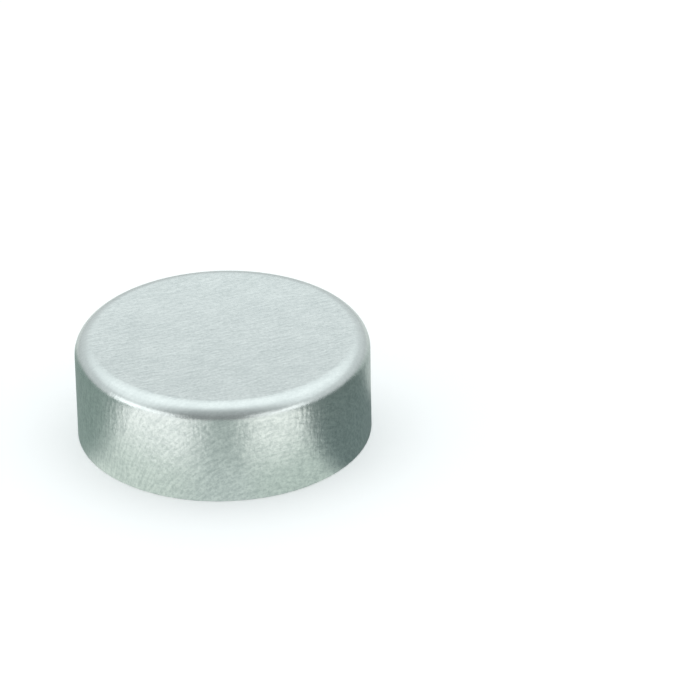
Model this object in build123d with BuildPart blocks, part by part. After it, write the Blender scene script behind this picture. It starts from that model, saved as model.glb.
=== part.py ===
from build123d import *
import os

# A plain aluminium crimp seal: one cup, deep drawn from sheet, with a closed top and an open foot.
#
# It is the cap that is crimped over the stopper and crown of a vial. It is a single piece of metal:
# a flat end panel, a rounded shoulder and a straight skirt, all of one sheet thickness, with the
# skirt's edge sheared square and slightly rolled over on the outside by the trimming die.
#
# Millimetres. +Z is up, the closed top is uppermost, and the origin is the centre of the open foot,
# on the surface that the trimmed edge stands on.

# Driving dimensions
bore_diameter = 20.2  # inside the skirt, for a 20 mm vial crown
sheet_thickness = 0.2
overall_height = 7.3
inside_corner_radius = 0.95  # left by the nose of the drawing punch
trim_rollover_radius = 0.06  # on the outer edge of the cut

# What follows from them
inner_radius = bore_diameter / 2
outer_radius = inner_radius + sheet_thickness
outside_corner_radius = inside_corner_radius + sheet_thickness
ceiling_height = overall_height - sheet_thickness
skirt_top = ceiling_height - inside_corner_radius  # where the skirt turns into the shoulder
panel_radius = inner_radius - inside_corner_radius  # where the shoulder turns into the end panel

with BuildPart() as crimp_seal:
    # Half of the cup's section, from the axis out to the skirt
    with BuildSketch(Plane.XZ):
        with BuildLine():
            Line((outer_radius, 0), (outer_radius, skirt_top))
            CenterArc((panel_radius, skirt_top), outside_corner_radius, 0, 90)
            Line((panel_radius, overall_height), (0, overall_height))
            Line((0, overall_height), (0, ceiling_height))
            Line((0, ceiling_height), (panel_radius, ceiling_height))
            CenterArc((panel_radius, skirt_top), inside_corner_radius, 0, 90)
            Line((inner_radius, skirt_top), (inner_radius, 0))
            Line((inner_radius, 0), (outer_radius, 0))
        make_face()
    revolve(axis=Axis.Z)

    # The sheared edge, rolled over on its outside
    foot_edges = crimp_seal.edges().filter_by(GeomType.CIRCLE).group_by(Axis.Z)[0]
    fillet(foot_edges.sort_by(SortBy.RADIUS)[-1], radius=trim_rollover_radius)

crimp_seal.part.label = "crimp_seal"

os.makedirs("parts", exist_ok=True)
export_step(crimp_seal.part, "parts/crimp_seal.step")
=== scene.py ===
import math

import bmesh
import bpy
from mathutils import Matrix, Vector, noise


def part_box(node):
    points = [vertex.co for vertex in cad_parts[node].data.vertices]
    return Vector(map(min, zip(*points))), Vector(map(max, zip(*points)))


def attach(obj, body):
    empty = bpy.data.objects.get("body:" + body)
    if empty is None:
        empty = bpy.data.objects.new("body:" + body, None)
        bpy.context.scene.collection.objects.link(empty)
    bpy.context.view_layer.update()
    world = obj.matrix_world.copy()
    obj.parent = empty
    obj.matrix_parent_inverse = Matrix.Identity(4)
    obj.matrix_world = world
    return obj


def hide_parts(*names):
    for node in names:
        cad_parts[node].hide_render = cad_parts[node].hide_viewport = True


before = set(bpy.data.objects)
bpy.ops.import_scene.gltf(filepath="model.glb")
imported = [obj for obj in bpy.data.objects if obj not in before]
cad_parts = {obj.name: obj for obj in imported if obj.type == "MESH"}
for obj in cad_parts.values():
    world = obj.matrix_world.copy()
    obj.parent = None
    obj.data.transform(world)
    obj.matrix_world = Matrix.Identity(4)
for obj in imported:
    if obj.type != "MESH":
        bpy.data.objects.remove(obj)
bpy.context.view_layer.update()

mm = 0.001
tiny = 0.001 * mm  # nearer than this, two places are the same

# A Mix node has an A, a B and a Result for each kind of value, so its colour ones go by number
mixFirst = 6
mixSecond = 7
mixResult = 2


def hexToLinear(code):
    channels = [int(code[i:i + 2], 16) / 255 for i in (0, 2, 4)]
    linear = [c / 12.92 if c <= 0.04045 else ((c + 0.055) / 1.055) ** 2.4 for c in channels]
    return (*linear, 1.0)


# adds a node, sets its settings, and fills or links its inputs
def addNode(tree, kind, inputs=None, **settings):
    node = tree.nodes.new(kind)
    for name, value in settings.items():
        setattr(node, name, value)
    for name, value in (inputs or {}).items():
        if isinstance(value, bpy.types.NodeSocket):
            tree.links.new(value, node.inputs[name])
        else:
            node.inputs[name].default_value = value
    return node


sealBottom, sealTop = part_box("crimp_seal")

cup = {
    "outerRadius": (sealTop.x - sealBottom.x) / 2,
    "height": sealTop.z,
    "wall": 0.2 * mm,             # the sheet's thickness
    "shoulder": 1.15 * mm,        # outside radius between the panel and the skirt
    "shoulderSteps": 16,
    "ringMargin": 0.08 * mm,      # between the shoulder and the first plain ring beside it
    "around": 480,
    "skirtRings": 26,
    "panelRings": 18,
    "footRollover": 0.06 * mm,    # outside edge of the cut, rolled by the trimming die
    "footSteps": 3,
    "ringSlack": 0.01 * mm,       # how far off a ring an edge may lie and still be picked
    "smoothBelow": 40,            # degrees; a sharper edge stays crisp
}

# How far drawing and handling leave the sheet from a true surface. A start is where the noise is read.
unevenness = {
    "skirtSwell": 0.014 * mm,     # slow in and out of the skirt
    "skirtSwellLength": 4.5 * mm,
    "skirtSwellStart": (3.1, 7.7, 1.9),
    "skirtOnly": 4,               # the higher, the less of the skirt's swell reaches the panel
    "panelDish": 0.15 * mm,       # the panel is drawn slightly hollow
    "panelSwell": 0.006 * mm,
    "panelSwellLength": 5.0 * mm,
    "panelSwellStart": (11.3, 2.4, 5.2),
    "trimRagged": 0.03 * mm,      # the trimmed edge rises here and there by up to this
    "trimRaggedLength": 0.5 * mm,
    "trimRaggedStart": (0.7, 9.2, 4.4),
}

blankSpan = 40 * mm  # the width that one whole UV square stands for


def selectEdges(mesh, test):
    edited = bmesh.from_edit_mesh(mesh)
    for edge in edited.edges:
        edge.select_set(False)
    for edge in edited.edges:
        if test(edge):
            edge.select_set(True)
    bmesh.update_edit_mesh(mesh)


def onRing(edge, height, radius, slack):
    return all(
        abs(v.co.z - height) < slack and abs(v.co.xy.length - radius) < slack
        for v in edge.verts
    )


# the cup's outside skin: a ring drawn up into the skirt, then drawn in to the panel's middle
def modelSheet():
    skirtTop = cup["height"] - cup["shoulder"] - cup["ringMargin"]
    panelEdge = cup["outerRadius"] - cup["shoulder"] - cup["ringMargin"]

    bpy.ops.object.select_all(action="DESELECT")
    bpy.ops.mesh.primitive_circle_add(
        vertices=cup["around"], radius=cup["outerRadius"], fill_type="NOTHING"
    )
    piece = bpy.context.object
    piece.name = "drawn_cup"
    bpy.ops.object.mode_set(mode="EDIT")
    bpy.ops.mesh.select_mode(type="EDGE")
    bpy.ops.mesh.select_all(action="SELECT")

    rises = [skirtTop / cup["skirtRings"]] * cup["skirtRings"]
    rises.append(cup["height"] - skirtTop)
    for rise in rises:
        bpy.ops.mesh.extrude_edges_move(TRANSFORM_OT_translate={"value": (0, 0, rise)})

    radius = cup["outerRadius"]
    for ring in range(cup["panelRings"]):
        smaller = panelEdge * (1 - ring / cup["panelRings"])
        shrink = smaller / radius
        bpy.ops.mesh.extrude_edges_move(TRANSFORM_OT_translate={"value": (0, 0, 0)})
        bpy.ops.transform.resize(value=(shrink, shrink, 1), center_override=(0, 0, cup["height"]))
        radius = smaller
    bpy.ops.mesh.extrude_edges_move(TRANSFORM_OT_translate={"value": (0, 0, 0)})
    bpy.ops.mesh.merge(type="CENTER")

    selectEdges(
        piece.data,
        lambda edge: onRing(edge, cup["height"], cup["outerRadius"], cup["ringSlack"]),
    )
    bpy.ops.mesh.bevel(
        offset=cup["shoulder"], segments=cup["shoulderSteps"], profile=0.5,
        affect="EDGES", clamp_overlap=False,
    )
    bpy.ops.mesh.select_all(action="SELECT")
    bpy.ops.mesh.remove_doubles(threshold=tiny)
    bpy.ops.mesh.normals_make_consistent(inside=False)
    bpy.ops.object.mode_set(mode="OBJECT")
    return piece


# how far a point of the cup lay from the middle of the flat blank
def alongSheet(place):
    radius = place.xy.length
    panelRadius = cup["outerRadius"] - cup["shoulder"]
    skirtTop = cup["height"] - cup["shoulder"]
    bend = cup["shoulder"] - cup["wall"] / 2
    if place.z <= skirtTop:
        return panelRadius + bend * math.pi / 2 + skirtTop - place.z
    if radius <= panelRadius:
        return radius
    return panelRadius + bend * math.atan2(radius - panelRadius, place.z - skirtTop)


# gives the cup a UV map that is the flat blank, so that rolling lines follow the metal
def layBlank(piece):
    mesh = piece.data
    layer = mesh.uv_layers.new(name="blank")
    for loop in mesh.loops:
        place = mesh.vertices[loop.vertex_index].co
        heading = place.xy.normalized() if place.xy.length > tiny else Vector((0, 0))
        spot = heading * (alongSheet(place) / blankSpan)
        layer.data[loop.index].uv = (0.5 + spot.x, 0.5 + spot.y)


# moves the skin off its true surface, as drawing, trimming and handling do
def disturb(piece):
    panelRadius = cup["outerRadius"] - cup["shoulder"]
    skirtStart = Vector(unevenness["skirtSwellStart"])
    panelStart = Vector(unevenness["panelSwellStart"])
    trimStart = Vector(unevenness["trimRaggedStart"])
    for vertex in piece.data.vertices:
        place = vertex.co.copy()
        radius = place.xy.length
        outward = place.xy.normalized() if radius > tiny else Vector((0, 0))
        # both noises lean inwards, so that the cup keeps within its true size
        skirtNoise = noise.noise(place / unevenness["skirtSwellLength"] + skirtStart) - 0.5
        panelNoise = noise.noise(place / unevenness["panelSwellLength"] + panelStart) - 1
        onSkirt = min(1, radius / panelRadius) ** unevenness["skirtOnly"]
        inPanel = max(0, 1 - (radius / panelRadius) ** 2)
        shift = outward * skirtNoise * unevenness["skirtSwell"] * onSkirt
        drop = unevenness["panelDish"] * inPanel - unevenness["panelSwell"] * panelNoise * inPanel
        lift = 0
        if place.z < tiny:
            trim = noise.noise(place / unevenness["trimRaggedLength"] + trimStart)
            lift = unevenness["trimRagged"] * max(0, trim)
        vertex.co = place + Vector((shift.x, shift.y, lift - drop))


# gives the skin its wall, inwards, and rolls over the outside of the cut
def thicken(piece):
    solidify = piece.modifiers.new("sheet", "SOLIDIFY")
    solidify.thickness = cup["wall"]
    solidify.offset = -1
    solidify.use_even_offset = True
    solidify.use_quality_normals = True
    bpy.ops.object.modifier_apply(modifier=solidify.name)

    bpy.ops.object.mode_set(mode="EDIT")
    trimSlack = unevenness["trimRagged"] + unevenness["skirtSwell"]
    selectEdges(piece.data, lambda edge: onRing(edge, 0, cup["outerRadius"], trimSlack))
    bpy.ops.mesh.bevel(
        offset=cup["footRollover"], segments=cup["footSteps"], profile=0.5, affect="EDGES"
    )
    bpy.ops.object.mode_set(mode="OBJECT")
    for vertex in piece.data.vertices:
        vertex.co.z = max(vertex.co.z, 0)
    bpy.ops.object.shade_smooth_by_angle(angle=math.radians(cup["smoothBelow"]))


# Rolled aluminium, bright but satin. Drawing it over a punch keeps the rolling lines and roughens
# the metal that stretched, so the panel is finely lined and the skirt is pebbled and streaked.
# Lengths are in mm. The patterns are coarser than real ones, which are too fine to show: real lines
# are a tenth as wide, and real grain is a fifth as large.
sheetMetal = {
    "dull": "c4cccb",
    "bright": "e6ecea",
    "panelFleck": 1.9,            # how strongly the flecks mix dull with bright
    "skirtFleck": 3.1,
    "lineShare": 0.6,             # how much of the flecks follows the lines
    "roughness": 0.25,
    "roughnessDrawn": 0.30,
    "grainHeading": 24,           # degrees round from +X
    "lineSpacing": 0.24,
    "lineLength": 1.2,
    "lineHeight": 0.012,
    "fleck": 0.24,
    "pebble": 0.30,
    "pebbleHeight": 0.026,
    "streakSpacing": 0.26,
    "streakLength": 1.6,
    "streakHeight": 0.016,
    "burnished": 0.4,             # what is left of lines and flecks where the die rubbed the shoulder
    "rubbedFrom": -0.3,           # places along the sheet, from the panel's edge outwards
    "rubbedFully": 0.4,
    "drawnFrom": 0.8,
    "drawnFully": 2.0,
    "cloud": 2.5,
    "cloudiness": 0.5,
}


# places on the flat blank, in mm from its middle
def readBlank(tree):
    blank = addNode(tree, "ShaderNodeUVMap", uv_map="blank")
    centred = addNode(tree, "ShaderNodeVectorMath", {0: blank.outputs["UV"], 1: (0.5, 0.5, 0)},
                      operation="SUBTRACT")
    inMm = addNode(tree, "ShaderNodeVectorMath", {0: centred.outputs[0], "Scale": blankSpan / mm},
                   operation="SCALE")
    return inMm.outputs[0]


# drawn is 0 on the panel and 1 on the skirt, where the metal was stretched; marked is what is left
# of the sheet's marks, all of them except on the shoulder
def maskSheet(tree, blankMm):
    panelMm = (cup["outerRadius"] - cup["shoulder"]) / mm
    fromMiddle = addNode(tree, "ShaderNodeVectorMath", {0: blankMm}, operation="LENGTH")
    drawn = addNode(tree, "ShaderNodeMapRange",
                    {"Value": fromMiddle.outputs["Value"],
                     "From Min": panelMm + sheetMetal["drawnFrom"],
                     "From Max": panelMm + sheetMetal["drawnFully"]},
                    interpolation_type="SMOOTHSTEP")
    bent = addNode(tree, "ShaderNodeMapRange",
                   {"Value": fromMiddle.outputs["Value"],
                    "From Min": panelMm + sheetMetal["rubbedFrom"],
                    "From Max": panelMm + sheetMetal["rubbedFully"]},
                   interpolation_type="SMOOTHSTEP")
    rubbed = addNode(tree, "ShaderNodeMath",
                     {0: bent.outputs["Result"], 1: drawn.outputs["Result"]},
                     operation="SUBTRACT")
    marked = addNode(tree, "ShaderNodeMapRange",
                     {"Value": rubbed.outputs[0], "To Min": 1.0,
                      "To Max": sheetMetal["burnished"]})
    return drawn.outputs["Result"], marked.outputs["Result"]


# lines run along the blank; streaks, pebbles, flecks and clouds stand in the cup's own space
def makePatterns(tree, blankMm):
    turned = addNode(tree, "ShaderNodeVectorRotate",
                     {"Vector": blankMm, "Angle": -math.radians(sheetMetal["grainHeading"])},
                     rotation_type="Z_AXIS")
    lineScale = (1 / sheetMetal["lineLength"], 1 / sheetMetal["lineSpacing"], 1)
    lineAt = addNode(tree, "ShaderNodeVectorMath", {0: turned.outputs[0], 1: lineScale},
                     operation="MULTIPLY")
    lines = addNode(tree, "ShaderNodeTexNoise",
                    {"Vector": lineAt.outputs[0], "Scale": 1.0, "Detail": 3.0, "Roughness": 0.6,
                     "Distortion": 0.5})

    body = addNode(tree, "ShaderNodeTexCoord")
    bodyMm = addNode(tree, "ShaderNodeVectorMath", {0: body.outputs["Object"], "Scale": 1 / mm},
                     operation="SCALE")
    streakScale = (1 / sheetMetal["streakSpacing"],) * 2 + (1 / sheetMetal["streakLength"],)
    streakAt = addNode(tree, "ShaderNodeVectorMath", {0: bodyMm.outputs[0], 1: streakScale},
                       operation="MULTIPLY")
    streaks = addNode(tree, "ShaderNodeTexNoise",
                      {"Vector": streakAt.outputs[0], "Scale": 1.0, "Detail": 2.0,
                       "Roughness": 0.5})
    pebbles = addNode(tree, "ShaderNodeTexNoise",
                      {"Vector": bodyMm.outputs[0], "Scale": 1 / sheetMetal["pebble"],
                       "Detail": 2.0, "Roughness": 0.5, "Distortion": 0.3})
    flecks = addNode(tree, "ShaderNodeTexNoise",
                     {"Vector": bodyMm.outputs[0], "Scale": 1 / sheetMetal["fleck"],
                      "Detail": 5.0, "Roughness": 0.75})
    clouds = addNode(tree, "ShaderNodeTexNoise",
                     {"Vector": bodyMm.outputs[0], "Scale": 1 / sheetMetal["cloud"],
                      "Detail": 2.0, "Roughness": 0.5})
    made = {"lines": lines, "streaks": streaks, "pebbles": pebbles, "flecks": flecks, "clouds": clouds}
    return {name: node.outputs["Fac"] for name, node in made.items()}


# heights in mm: lines everywhere, pebbles and streaks only where the metal was stretched
def raiseSurface(tree, patterns, drawn, marked):
    fullLines = addNode(tree, "ShaderNodeMath",
                        {0: patterns["lines"], 1: sheetMetal["lineHeight"]},
                        operation="MULTIPLY")
    leftLines = addNode(tree, "ShaderNodeMath", {0: fullLines.outputs[0], 1: marked},
                        operation="MULTIPLY")
    pebbleHeight = addNode(tree, "ShaderNodeMath",
                           {0: patterns["pebbles"], 1: sheetMetal["pebbleHeight"]},
                           operation="MULTIPLY")
    withStreaks = addNode(tree, "ShaderNodeMath",
                          {0: patterns["streaks"], 1: sheetMetal["streakHeight"],
                           2: pebbleHeight.outputs[0]}, operation="MULTIPLY_ADD")
    height = addNode(tree, "ShaderNodeMath",
                     {0: withStreaks.outputs[0], 1: drawn, 2: leftLines.outputs[0]},
                     operation="MULTIPLY_ADD")
    bump = addNode(tree, "ShaderNodeBump",
                   {"Height": height.outputs[0], "Strength": 1.0, "Distance": mm})
    return bump.outputs["Normal"]


# dull and bright flecks, some of them following the lines, over broad faint clouds
def tintSurface(tree, patterns, drawn, marked):
    fleckSum = addNode(tree, "ShaderNodeMath",
                       {0: patterns["lines"], 1: sheetMetal["lineShare"], 2: patterns["flecks"]},
                       operation="MULTIPLY_ADD")
    speckle = addNode(tree, "ShaderNodeMath",
                      {0: fleckSum.outputs[0], 1: (1 + sheetMetal["lineShare"]) / 2},
                      operation="SUBTRACT")
    fullStrength = addNode(tree, "ShaderNodeMapRange",
                           {"Value": drawn, "To Min": sheetMetal["panelFleck"],
                            "To Max": sheetMetal["skirtFleck"]})
    leftStrength = addNode(tree, "ShaderNodeMath",
                           {0: fullStrength.outputs["Result"], 1: marked}, operation="MULTIPLY")
    cloudy = addNode(tree, "ShaderNodeMapRange",
                     {"Value": patterns["clouds"], "From Min": 0.0, "From Max": 1.0,
                      "To Min": 0.5 - sheetMetal["cloudiness"] / 2,
                      "To Max": 0.5 + sheetMetal["cloudiness"] / 2})
    mixed = addNode(tree, "ShaderNodeMath",
                    {0: speckle.outputs[0], 1: leftStrength.outputs[0],
                     2: cloudy.outputs["Result"]}, operation="MULTIPLY_ADD")
    colour = addNode(tree, "ShaderNodeMix",
                     {0: mixed.outputs[0], mixFirst: hexToLinear(sheetMetal["dull"]),
                      mixSecond: hexToLinear(sheetMetal["bright"])}, data_type="RGBA")
    return colour.outputs[mixResult]


def makeSheetMaterial():
    material = bpy.data.materials.new("deep_drawn_aluminium")
    material.use_nodes = True
    tree = material.node_tree
    tree.nodes.clear()
    blankMm = readBlank(tree)
    drawn, marked = maskSheet(tree, blankMm)
    patterns = makePatterns(tree, blankMm)
    rough = addNode(tree, "ShaderNodeMapRange",
                    {"Value": drawn, "To Min": sheetMetal["roughness"],
                     "To Max": sheetMetal["roughnessDrawn"]})
    shader = addNode(tree, "ShaderNodeBsdfPrincipled",
                     {"Metallic": 1.0,
                      "Base Color": tintSurface(tree, patterns, drawn, marked),
                      "Roughness": rough.outputs["Result"],
                      "Normal": raiseSurface(tree, patterns, drawn, marked)})
    addNode(tree, "ShaderNodeOutputMaterial", {"Surface": shader.outputs["BSDF"]})
    return material


studio = {
    "floorRadius": 600 * mm,
    "floorSides": 96,
    "floorColour": "f7f8f8",
    "floorLift": 0.17,            # added for the camera alone, so that the table reads as white
    "paintedReflectionLift": 0.02 * mm,        # keeps the painted reflection sheet clear of the table that it lies on
    # how brightly the painted reflection sheet glows
    "paintedReflectionStrength": 1.26,
}


def addDisc(name, height):
    bpy.ops.object.select_all(action="DESELECT")
    bpy.ops.mesh.primitive_circle_add(
        vertices=studio["floorSides"], radius=studio["floorRadius"], fill_type="NGON"
    )
    disc = bpy.context.object
    disc.name = name
    for vertex in disc.data.vertices:
        vertex.co.z = height
    return disc


# A matt white table top: no gloss of its own, only the soft shadow
def makeFloor():
    material = bpy.data.materials.new("matt_white_table")
    material.use_nodes = True
    tree = material.node_tree
    tree.nodes.clear()
    rays = addNode(tree, "ShaderNodeLightPath")
    seen = addNode(tree, "ShaderNodeMath",
                   {0: rays.outputs["Is Camera Ray"], 1: studio["floorLift"]},
                   operation="MULTIPLY")
    shader = addNode(tree, "ShaderNodeBsdfPrincipled",
                     {"Base Color": hexToLinear(studio["floorColour"]), "Roughness": 0.9,
                      "Specular IOR Level": 0.1, "Emission Color": (1, 1, 1, 1),
                      "Emission Strength": seen.outputs[0]})
    addNode(tree, "ShaderNodeOutputMaterial", {"Surface": shader.outputs["BSDF"]})
    addDisc("table", 0).data.materials.append(material)


# What the skirt mirrors: a painted reflection, a grey ground round the seal with five soft-edged
# patches of painted light and shade laid on it. Each has a heading, a half width and a fade in
# degrees, and a colour beside the foot and further out.
paintedGround = {"beside": "bec7c3", "beyond": "a3ada9", "nearRadius": 13 * mm, "farRadius": 20 * mm}
paintedReflectionPatches = {
    "behind": {"heading": 90, "half": 25, "fade": 45, "beside": "b4bbb8", "beyond": "ccd1cf"},
    "paleLeft": {"heading": -131, "half": 8, "fade": 28, "beside": "cad3cc", "beyond": "fcfdfb"},
    "paleRight": {"heading": -56, "half": 5, "fade": 23, "beside": "bac5be", "beyond": "f6f8f4"},
    "darkLeft": {"heading": 172, "half": 16, "fade": 26, "beside": "82928c", "beyond": "7e8e88"},
    "darkRight": {"heading": -10, "half": 20, "fade": 16, "beside": "6a7876", "beyond": "626f6c"},
}


# where a patch of painted reflection covers the painted ground: 1 within its half width, and 0 past
# its fade
def coverWith(tree, paintedReflection, outward):
    heading = math.radians(paintedReflection["heading"])
    towards = addNode(tree, "ShaderNodeVectorMath",
                      {0: outward, 1: (math.cos(heading), math.sin(heading), 0)},
                      operation="DOT_PRODUCT")
    covers = addNode(tree, "ShaderNodeMapRange",
                     {"Value": towards.outputs["Value"],
                      "From Min": math.cos(math.radians(paintedReflection["half"] + paintedReflection["fade"])),
                      "From Max": math.cos(math.radians(paintedReflection["half"]))},
                     interpolation_type="SMOOTHSTEP")
    return covers.outputs["Result"]


# A glowing sheet of painted reflection, which only the metal sees. It paints the skirt's soft darks
# and lights.
def makePaintedReflection():
    material = bpy.data.materials.new("painted_reflection_sheet")
    material.use_nodes = True
    tree = material.node_tree
    tree.nodes.clear()
    spot = addNode(tree, "ShaderNodeTexCoord")
    outward = addNode(tree, "ShaderNodeVectorMath", {0: spot.outputs["Object"]},
                      operation="NORMALIZE")
    distance = addNode(tree, "ShaderNodeVectorMath", {0: spot.outputs["Object"]},
                       operation="LENGTH")
    further = addNode(tree, "ShaderNodeMapRange",
                      {"Value": distance.outputs["Value"], "From Min": paintedGround["nearRadius"],
                       "From Max": paintedGround["farRadius"]}, interpolation_type="SMOOTHSTEP")

    def toned(paintedTones):
        tone = addNode(tree, "ShaderNodeMix",
                       {0: further.outputs["Result"], mixFirst: hexToLinear(paintedTones["beside"]),
                        mixSecond: hexToLinear(paintedTones["beyond"])}, data_type="RGBA")
        return tone.outputs[mixResult]

    colour = toned(paintedGround)
    for paintedReflection in paintedReflectionPatches.values():
        laid = addNode(tree, "ShaderNodeMix",
                       {0: coverWith(tree, paintedReflection, outward.outputs[0]), mixFirst: colour,
                        mixSecond: toned(paintedReflection)}, data_type="RGBA")
        colour = laid.outputs[mixResult]
    # painted reflection: the sheet glows, though it is no lamp, and only the metal's reflections see
    # it
    glow = addNode(tree, "ShaderNodeEmission",
                   {"Color": colour, "Strength": studio["paintedReflectionStrength"]})
    addNode(tree, "ShaderNodeOutputMaterial", {"Surface": glow.outputs["Emission"]})
    sheet = addDisc("paintedReflection", studio["paintedReflectionLift"])
    sheet.data.materials.append(material)
    sheet.visible_camera = False
    sheet.visible_diffuse = False
    sheet.visible_transmission = False
    sheet.visible_shadow = False


# places, widths and depths in mm
softboxes = {
    "overhead": {"place": (0, 110, 420), "size": (700, 330), "watts": 0.10},
    "leftFront": {"place": (-440, -255, 100), "size": (520, 190), "watts": 0.30},
    "rightFront": {"place": (340, -378, 100), "size": (370, 190), "watts": 0.21},
}


def makeSoftboxes():
    aim = Vector((0, 0, cup["height"] / 2))
    for name, softbox in softboxes.items():
        lamp = bpy.data.lights.new(name, "AREA")
        lamp.shape = "RECTANGLE"
        lamp.size = softbox["size"][0] * mm
        lamp.size_y = softbox["size"][1] * mm
        lamp.energy = softbox["watts"]
        holder = bpy.data.objects.new(name, lamp)
        holder.location = Vector(softbox["place"]) * mm
        holder.rotation_euler = (aim - holder.location).to_track_quat("-Z", "Y").to_euler()
        bpy.context.scene.collection.objects.link(holder)


# The room: a backdrop that brightens upwards, and a dim side towards dimHeading. A height is that
# of a direction, 0 level and 1 straight up.
room = {
    "horizon": 0.62,
    "backdropLow": 0.80,
    "backdropHigh": 1.20,
    "lowFoot": 0.02,
    "lowTop": 0.22,
    "highStart": 0.40,
    "highTop": 0.60,
    "dimmed": 0.42,
    "dimHeading": (0, -0.95, 0.3),
    "dimInner": 0.90,             # cosine of the angle from dimHeading, where it is fully dimmed
    "dimOuter": 0.40,
    "tint": "f4f9fa",
}


def makeSurroundings():
    world = bpy.data.worlds.new("studio_room")
    world.use_nodes = True
    tree = world.node_tree
    tree.nodes.clear()
    heading = addNode(tree, "ShaderNodeTexCoord")
    parts = addNode(tree, "ShaderNodeSeparateXYZ", {"Vector": heading.outputs["Generated"]})
    lower = addNode(tree, "ShaderNodeMapRange",
                    {"Value": parts.outputs["Z"], "From Min": room["lowFoot"],
                     "From Max": room["lowTop"], "To Min": room["horizon"],
                     "To Max": room["backdropLow"]}, interpolation_type="SMOOTHSTEP")
    upper = addNode(tree, "ShaderNodeMapRange",
                    {"Value": parts.outputs["Z"], "From Min": room["highStart"],
                     "From Max": room["highTop"], "To Min": 0.0,
                     "To Max": room["backdropHigh"] - room["backdropLow"]},
                    interpolation_type="SMOOTHSTEP")
    upward = addNode(tree, "ShaderNodeMath",
                     {0: lower.outputs["Result"], 1: upper.outputs["Result"]}, operation="ADD")
    dimWay = Vector(room["dimHeading"]).normalized()
    facing = addNode(tree, "ShaderNodeVectorMath",
                     {0: heading.outputs["Generated"], 1: dimWay}, operation="DOT_PRODUCT")
    dim = addNode(tree, "ShaderNodeMapRange",
                  {"Value": facing.outputs["Value"], "From Min": room["dimOuter"],
                   "From Max": room["dimInner"], "To Min": 1.0, "To Max": room["dimmed"]},
                  interpolation_type="SMOOTHSTEP")
    strength = addNode(tree, "ShaderNodeMath",
                       {0: upward.outputs[0], 1: dim.outputs["Result"]},
                       operation="MULTIPLY")
    glow = addNode(tree, "ShaderNodeBackground",
                   {"Color": hexToLinear(room["tint"]), "Strength": strength.outputs[0]})
    addNode(tree, "ShaderNodeOutputWorld", {"Surface": glow.outputs["Background"]})
    bpy.context.scene.world = world


viewpoint = {
    "aim": (8.87, 0, 5.95),       # mm; the seal stands left of the frame's middle
    "distance": 348,              # mm
    "elevation": 29.3,            # degrees down to the seal
    "roll": -0.95,                # degrees
    "lens": 257.1,                # mm, as is the sensor
    "sensor": 36,
    "nearest": 10 * mm,
    "farthest": 10,               # m
}


def makeCamera():
    camera = bpy.data.cameras.new("camera")
    camera.lens = viewpoint["lens"]
    camera.sensor_width = viewpoint["sensor"]
    camera.clip_start = viewpoint["nearest"]
    camera.clip_end = viewpoint["farthest"]
    holder = bpy.data.objects.new("camera", camera)
    bpy.context.scene.collection.objects.link(holder)
    down = math.radians(viewpoint["elevation"])
    back = Vector((0, -math.cos(down), math.sin(down))) * viewpoint["distance"]
    place = (Vector(viewpoint["aim"]) + back) * mm
    tilt = Matrix.Rotation(math.radians(90) - down, 4, "X")
    roll = Matrix.Rotation(math.radians(viewpoint["roll"]), 4, "Z")
    holder.matrix_world = Matrix.Translation(place) @ tilt @ roll
    bpy.context.scene.camera = holder


print("modelling the cup")
seal = modelSheet()
layBlank(seal)
disturb(seal)
thicken(seal)

print("finishing the metal")
seal.data.materials.append(makeSheetMaterial())
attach(seal, "root")
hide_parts("crimp_seal")

print("setting up the studio")
makeFloor()
makePaintedReflection()
makeSoftboxes()
makeSurroundings()
makeCamera()
bpy.context.scene.view_settings.view_transform = "Standard"
